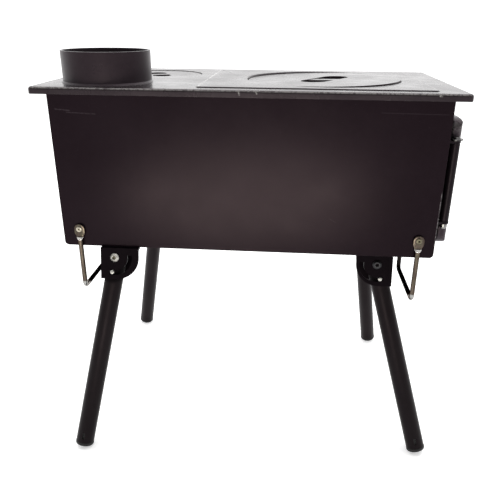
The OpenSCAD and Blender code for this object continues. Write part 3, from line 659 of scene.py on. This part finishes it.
# woven rope seal round the door mouth
def rope():
    # centre line: rounded rectangle in the Y-Z plane
    hw, hh, rad = 75.0, 65.5, 7.5
    pts = []
    def arc(cy, cz, a0):
        for k in range(9):
            a = math.radians(a0 + 90 * k / 8)
            pts.append((cy + rad * math.cos(a), cz + rad * math.sin(a)))
    def side(p, q, n):
        for k in range(1, n):
            pts.append((p[0] + (q[0] - p[0]) * k / n, p[1] + (q[1] - p[1]) * k / n))
    arc(hw - rad, hh - rad, 0)
    side((hw - rad, hh), (-hw + rad, hh), 130)
    arc(-hw + rad, hh - rad, 90)
    side((-hw, hh - rad), (-hw, -hh + rad), 112)
    arc(-hw + rad, -hh + rad, 180)
    side((-hw + rad, -hh), (hw - rad, -hh), 130)
    arc(hw - rad, -hh + rad, 270)
    side((hw, -hh + rad), (hw, hh - rad), 112)
    n = 20
    rings = []
    dist = 0.0
    count = len(pts)
    for i in range(count):
        p, q, o = pts[i], pts[(i + 1) % count], pts[i - 1]
        if i:
            dist += math.hypot(p[0] - o[0], p[1] - o[1])
        t = Vector((q[0] - o[0], q[1] - o[1]))
        t.normalize()
        nrm = Vector((t.y, -t.x))
        ring = []
        for k, (u, v) in enumerate(oval(3.35, 0.62, n, 2.6)):
            th = 2 * math.pi * k / n
            weave = 0.5 + 0.25 * (math.cos(dist * 2 * math.pi / 4.1 + 3 * th) + math.cos(dist * 2 * math.pi / 4.1 - 3 * th))
            g = 0.90 + 0.10 * weave
            uu, vv = u * g, v * (0.86 + 0.2 * weave)
            ring.append(((222.8 + vv) * MM + XO, (p[0] + nrm.x * uu) * MM, (337.8 + p[1] + nrm.y * uu) * MM))
        rings.append(ring)
    return loft("rope_seal", rings, M["seal_rope"], closed=True)


seal = rope()
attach(seal, "door")
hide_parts("door_seal")


# ------------------------------------------------------------------ stage
def floor_material():
    mat, nt, bsdf, co = new_material("studio_floor")
    n = noise(nt, co, 3.0, 4.0, 0.5)
    col = mix(nt, remap(nt, n, 0.3, 0.7), (0.90, 0.90, 0.90), (0.93, 0.93, 0.93))
    nt.links.new(col, bsdf.inputs["Base Color"])
    bsdf.inputs["Roughness"].default_value = 0.9
    bsdf.inputs["Specular IOR Level"].default_value = 0.1
    bsdf.inputs["Emission Color"].default_value = (1.0, 1.0, 1.0, 1.0)
    sep = nt.nodes.new("ShaderNodeSeparateXYZ")
    nt.links.new(co, sep.inputs[0])
    nt.links.new(remap(nt, sep.outputs["Y"], -0.75, -0.35, 0.05, 0.42, True), bsdf.inputs["Emission Strength"])
    return mat


bm = bmesh.new()
bmesh.ops.create_grid(bm, x_segments=8, y_segments=8, size=40.0)
fm = bpy.data.meshes.new("studio_floor")
bm.to_mesh(fm)
bm.free()
floor = bpy.data.objects.new("studio_floor", fm)
floor.location = (0, 0, -0.0004)
fm.materials.append(floor_material())
scene.collection.objects.link(floor)

world = bpy.data.worlds.new("studio")
scene.world = world
world.use_nodes = True
wn = world.node_tree
wn.nodes.clear()
wo = wn.nodes.new("ShaderNodeOutputWorld")
bg = wn.nodes.new("ShaderNodeBackground")
tc = wn.nodes.new("ShaderNodeTexCoord")
sep = wn.nodes.new("ShaderNodeSeparateXYZ")
wn.links.new(tc.outputs["Generated"], sep.inputs[0])
ramp = wn.nodes.new("ShaderNodeMapRange")
ramp.interpolation_type = "SMOOTHSTEP"
ramp.inputs["From Min"].default_value = -0.75
ramp.inputs["From Max"].default_value = 0.10
ramp.inputs["To Min"].default_value = 0.14
ramp.inputs["To Max"].default_value = 1.40
wn.links.new(sep.outputs["Y"], ramp.inputs["Value"])
bg.inputs["Color"].default_value = (1.0, 1.0, 1.0, 1.0)
back_ramp = wn.nodes.new("ShaderNodeMapRange")
back_ramp.interpolation_type = "SMOOTHSTEP"
back_ramp.inputs["From Min"].default_value = 0.55
back_ramp.inputs["From Max"].default_value = 0.98
back_ramp.inputs["To Min"].default_value = 0.0
back_ramp.inputs["To Max"].default_value = 0.45
wn.links.new(sep.outputs["Y"], back_ramp.inputs["Value"])
both = wn.nodes.new("ShaderNodeMath")
both.operation = "ADD"
wn.links.new(ramp.outputs[0], both.inputs[0])
wn.links.new(back_ramp.outputs[0], both.inputs[1])
# a pale band along the horizon, so the floor's far edge never shows against the darker side
band = wn.nodes.new("ShaderNodeMapRange")
band.interpolation_type = "SMOOTHSTEP"
band.inputs["From Min"].default_value = 0.34
band.inputs["From Max"].default_value = 0.24
band.inputs["To Min"].default_value = 0.0
band.inputs["To Max"].default_value = 0.98
wn.links.new(sep.outputs["Z"], band.inputs["Value"])
most = wn.nodes.new("ShaderNodeMath")
most.operation = "MAXIMUM"
wn.links.new(both.outputs[0], most.inputs[0])
wn.links.new(band.outputs[0], most.inputs[1])
wn.links.new(most.outputs[0], bg.inputs["Strength"])
wn.links.new(bg.outputs[0], wo.inputs[0])


def area(name, loc, target, size, energy, color=(1, 1, 1), size_y=None, shape="RECTANGLE"):
    d = bpy.data.lights.new(name, "AREA")
    d.energy = energy
    d.color = color
    d.shape = shape
    d.size = size
    d.size_y = size_y or size
    o = bpy.data.objects.new(name, d)
    scene.collection.objects.link(o)
    o.location = loc
    o.rotation_euler = (Vector(target) - Vector(loc)).to_track_quat("-Z", "Y").to_euler()
    o.visible_camera = False
    return o


area("top_soft", (0.0, 0.6, 2.2), (0, 0.1, 0.2), 2.4, 30.0)
area("front_low", (-0.10, -1.20, 0.015), (-0.10, -1.20, 1.0), 0.76, 14.5, (1.0, 0.98, 0.84), 0.92, "ELLIPSE")

scene.view_settings.view_transform = "Standard"
